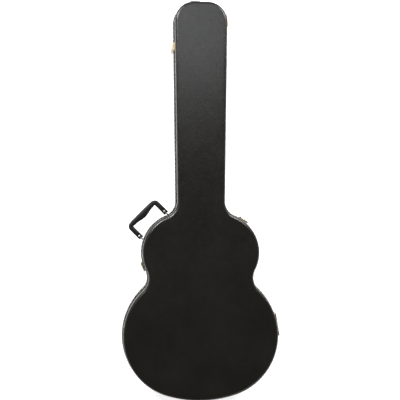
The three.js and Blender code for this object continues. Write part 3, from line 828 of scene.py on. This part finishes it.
# ---------------------------------------------------------------- handle
LEG_AT = 50 * MM
LEG_HALF = 7.2 * MM
LEG_END = -2.4 * MM
PIVOT_OUT = 3 * MM
PIVOT_ROUND = 5.5 * MM
SHOULDER_OUT = PIVOT_OUT + 14 * MM
GRIP_OUT = 44.7 * MM
GRIP_CORNER = 9 * MM
SLEEVE_HALF = 38 * MM
SLEEVE_BELLY = 4.4 * MM
GRIP_HALF_HEIGHT = 8.2 * MM
SLOT_HALF = 2.1 * MM
SLOT_DEPTH = 8.4 * MM
SLOT_REACH = 12 * MM


def handle_mount():
    joint = joints["handle_swing"]
    axis = joint["axis"]
    normal = Vector((axis[1], -axis[0], 0))
    return Mount(Vector(joint["pos_m"]) - normal * PIVOT_OUT, normal), joint["pos_m"][2] - SEAM


def handle_path():
    """The middle line of the handle as (along, out, heading), from one leg end to the other."""
    leg_steps, corner_steps, grip_steps = 22, 10, 60
    leg_top = GRIP_OUT - GRIP_CORNER
    points = []
    for i in range(leg_steps + 1):
        points.append((-LEG_AT, LEG_END + (leg_top - LEG_END) * i / leg_steps, 90))
    for i in range(1, corner_steps + 1):
        turned = 90 * i / corner_steps
        angle = math.radians(180 - turned)
        along = -LEG_AT + GRIP_CORNER * (1 + math.cos(angle))
        points.append((along, leg_top + GRIP_CORNER * math.sin(angle), 90 - turned))
    first = points[-1][0]
    for i in range(1, grip_steps + 1):
        points.append((first * (1 - i / grip_steps), GRIP_OUT, 0))
    return points + [(-along, out, -heading) for along, out, heading in reversed(points[:-1])]


def leg_half_height(out):
    """Each leg narrows to a round end about its pin."""
    if out < PIVOT_OUT:
        return math.sqrt(max(PIVOT_ROUND ** 2 - (out - PIVOT_OUT) ** 2, 1e-8))
    part = min(1.0, (out - PIVOT_OUT) / (SHOULDER_OUT - PIVOT_OUT))
    return PIVOT_ROUND + (GRIP_HALF_HEIGHT - PIVOT_ROUND) * (3 * part ** 2 - 2 * part ** 3)


def handle_section(along, out):
    """Half sizes towards the case, away from it and up."""
    end_flare = 0.3 * MM * max(0.0, 1 - (out - LEG_END) / (6 * MM))
    if abs(along) > SLEEVE_HALF:
        return LEG_HALF + end_flare, LEG_HALF + end_flare, leg_half_height(out)
    part = abs(along) / SLEEVE_HALF
    belly = (0.5 + 0.5 * math.cos(math.pi * min(1.0, part * 1.15))) ** 1.1
    step = 0.75 * MM * min(1.0, (SLEEVE_HALF - abs(along)) / (1.2 * MM)) ** 0.5
    inward = LEG_HALF + step + SLEEVE_BELLY * belly
    outward = LEG_HALF + step + 0.3 * MM * belly
    return inward, outward, GRIP_HALF_HEIGHT + 0.5 * step


def make_handle():
    mount, middle = handle_mount()
    sides = 28
    squareness = 0.72
    verts = []
    path = handle_path()
    for along, out, heading in path:
        inward, outward, tall = handle_section(along, out)
        across = Vector((-math.sin(math.radians(heading)), math.cos(math.radians(heading))))
        for k in range(sides):
            angle = 2 * math.pi * k / sides
            wide = math.copysign(abs(math.cos(angle)) ** squareness, math.cos(angle))
            high = math.copysign(abs(math.sin(angle)) ** squareness, math.sin(angle))
            reach = wide * (outward if wide > 0 else inward)
            verts.append(mount.at(out + across.y * reach, along + across.x * reach, middle + high * tall))
    count = len(path)
    faces = ring_faces(count, sides)[: (count - 1) * sides]
    faces += [tuple(range(sides)), tuple(range((count - 1) * sides, count * sides))]
    obj = new_object("moulded_grip", verts, faces, MOULDING)
    cut_leg_slots(obj, mount, middle)
    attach(obj, "handle")
    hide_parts("carry_handle")
    for name in ("upper", "lower"):
        repaint(f"handle_bracket_{name}", DULL_NICKEL)
        soften(nodes[f"handle_bracket_{name}"], 0.4 * MM, 2)
        repaint(f"handle_pin_{name}", DULL_NICKEL)
        soften(nodes[f"handle_pin_{name}"], 0.5 * MM, 2)
    make_bracket_rivets(middle)


def cut_leg_slots(obj, mount, middle):
    """Each leg end is forked round its bracket's tongue."""
    for side in (-1, 1):
        along = (side * LEG_AT - SLOT_HALF, side * LEG_AT + SLOT_HALF)
        up = (middle - SLOT_REACH, middle + SLOT_REACH)
        cutter = slot_cutter(mount, (-SLOT_REACH, SLOT_DEPTH), along, up)
        boolean = obj.modifiers.new("slot", "BOOLEAN")
        boolean.operation = "DIFFERENCE"
        boolean.solver = "EXACT"
        boolean.object = cutter
        apply_modifier(obj, boolean)
        bpy.data.objects.remove(cutter)


def slot_cutter(mount, out, along, up):
    """A block between the given distances from a wall mount."""
    verts = [mount.at(o, a, u) for o in out for a in along for u in up]
    faces = [(0, 1, 3, 2), (4, 6, 7, 5), (0, 4, 5, 1), (2, 3, 7, 6), (0, 2, 6, 4), (1, 5, 7, 3)]
    return new_object("cutter", verts, faces, MOULDING, smooth=False)


def make_bracket_rivets(middle):
    """Two rivet heads on each bracket's foot, square to the wall."""
    for name in ("upper", "lower"):
        low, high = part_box(f"handle_bracket_{name}")
        centre = (low + high) / 2
        nearest = min(STATIONS, key=lambda s: (s.point - centre.xy).length)
        mount = Mount(nearest.point, nearest.normal)
        spots = [(along, middle + up) for along in (-7.5 * MM, 7.5 * MM) for up in (-8 * MM, 8 * MM)]
        rivets, bracket = f"handle_bracket_{name}_rivets", f"handle_bracket_{name}"
        heads_on(rivets, bracket, mount, spots, 1.9 * MM, BRASS, "base")


# ---------------------------------------------------------------- compartment, feet
def make_compartment():
    for node in ("front_wall", "back_wall", "hinge_rail", "ledge", "lid"):
        repaint(f"accessory_box_{node}", PLUSH)
        soften(nodes[f"accessory_box_{node}"], 0.9 * MM, 3)
    repaint("accessory_box_pin", NICKEL)
    soften(nodes["accessory_box_pin"], 0.3 * MM, 2)
    repaint("accessory_box_tab", RIBBON)
    soften(nodes["accessory_box_tab"], 0.5 * MM, 2)


def make_feet():
    for name in ("tail", "waist", "head"):
        repaint(f"spine_foot_{name}", RUBBER)
        soften(nodes[f"spine_foot_{name}"], 0.8 * MM, 3, 25)


# ---------------------------------------------------------------- stage
VIEW_DISTANCE = 2.0
VIEW_WIDTH = 1.108
VIEW_SHIFT = 0.03
VIEW_PLACE = (-0.17, -0.06)
VIEW_CENTRE = (-0.0042, 0.0005)
SENSOR = 36
FLOOR_SPAN = 80.0


def make_camera():
    """Above the lid, a little to the handle side and towards the tail."""
    camera = bpy.data.objects.new("camera", bpy.data.cameras.new("camera"))
    bpy.context.scene.collection.objects.link(camera)
    camera.data.lens = SENSOR * VIEW_DISTANCE / VIEW_WIDTH
    camera.data.sensor_width = SENSOR
    camera.data.shift_y = VIEW_SHIFT
    camera.location = (*VIEW_PLACE, CASE_TOP + VIEW_DISTANCE)
    across, along = VIEW_CENTRE
    target = Vector((across, along - VIEW_SHIFT * VIEW_WIDTH, CASE_TOP))
    towards = (camera.location - target).normalized()
    right = Vector((0, 1, 0)).cross(towards).normalized()
    up = towards.cross(right)
    turn = Matrix((right, up, towards)).transposed().to_4x4()
    camera.matrix_world = Matrix.Translation(camera.location) @ turn
    camera.data.clip_end = 100
    bpy.context.scene.camera = camera


def area_light(name, place, target, size, power, colour=(1, 1, 1)):
    light = bpy.data.lights.new(name, "AREA")
    light.shape = "DISK"
    light.size = size
    light.energy = power
    light.color = colour
    obj = bpy.data.objects.new(name, light)
    obj.location = place
    obj.rotation_euler = (Vector(target) - Vector(place)).to_track_quat("-Z", "Y").to_euler()
    bpy.context.scene.collection.objects.link(obj)


def make_world():
    """Studio surroundings: bright low down, dim straight above."""
    world = bpy.data.worlds.new("world")
    world.use_nodes = True
    tree = world.node_tree
    place = tree.nodes.new("ShaderNodeTexCoord")
    split = tree.nodes.new("ShaderNodeSeparateXYZ")
    ramp = tree.nodes.new("ShaderNodeValToRGB")
    tree.links.new(place.outputs["Generated"], split.inputs["Vector"])
    tree.links.new(split.outputs["Z"], ramp.inputs["Fac"])
    low, high = ramp.color_ramp.elements
    low.position, low.color = 0.15, (0.6, 0.6, 0.6, 1)
    high.position, high.color = 0.8, (0.12, 0.12, 0.13, 1)
    tree.links.new(ramp.outputs["Color"], tree.nodes["Background"].inputs["Color"])
    tree.nodes["Background"].inputs["Strength"].default_value = 0.75
    bpy.context.scene.world = world


def make_stage():
    look = Look("pale_floor", 0.9)
    look.colour(look.noise(3, 2), ((0.3, grey(0.92)), (0.7, grey(0.95))))
    look.socket("Emission Color", (1, 1, 1, 1))
    look.socket("Emission Strength", 0.7)
    corners = [(-FLOOR_SPAN, -FLOOR_SPAN, 0), (FLOOR_SPAN, -FLOOR_SPAN, 0),
               (FLOOR_SPAN, FLOOR_SPAN, 0), (-FLOOR_SPAN, FLOOR_SPAN, 0)]
    floor = new_object("floor", corners, [(0, 1, 2, 3)], look.material)
    make_world()
    area_light("key", (0.05, 1.1, 2.15), (0, 0.4, 0.1), 0.9, 7, (0.93, 0.96, 1))
    area_light("rim", (-1.5, 1.9, 2.3), (0, 0, 0.1), 1.1, 115)
    area_light("right_rim", (1.7, 2.0, 2.2), (0, 0, 0.1), 1.0, 85)
    area_light("tail_fill", (1.4, -2.6, 1.3), (0, -0.3, 0.1), 1.6, 12, (1, 0.98, 0.95))
    bpy.context.scene.view_settings.view_transform = "Standard"


make_camera()
make_stage()
shell("lid_shell", True, CASE_TOP, "lid", ("lid_panel", "lid_side_wall"))
shell("base_shell", False, 0.0, "base", ("base_panel", "base_side_wall"))
make_edgings()
make_linings()
make_pads()
make_latches()
make_hinges()
make_handle()
make_compartment()
make_feet()
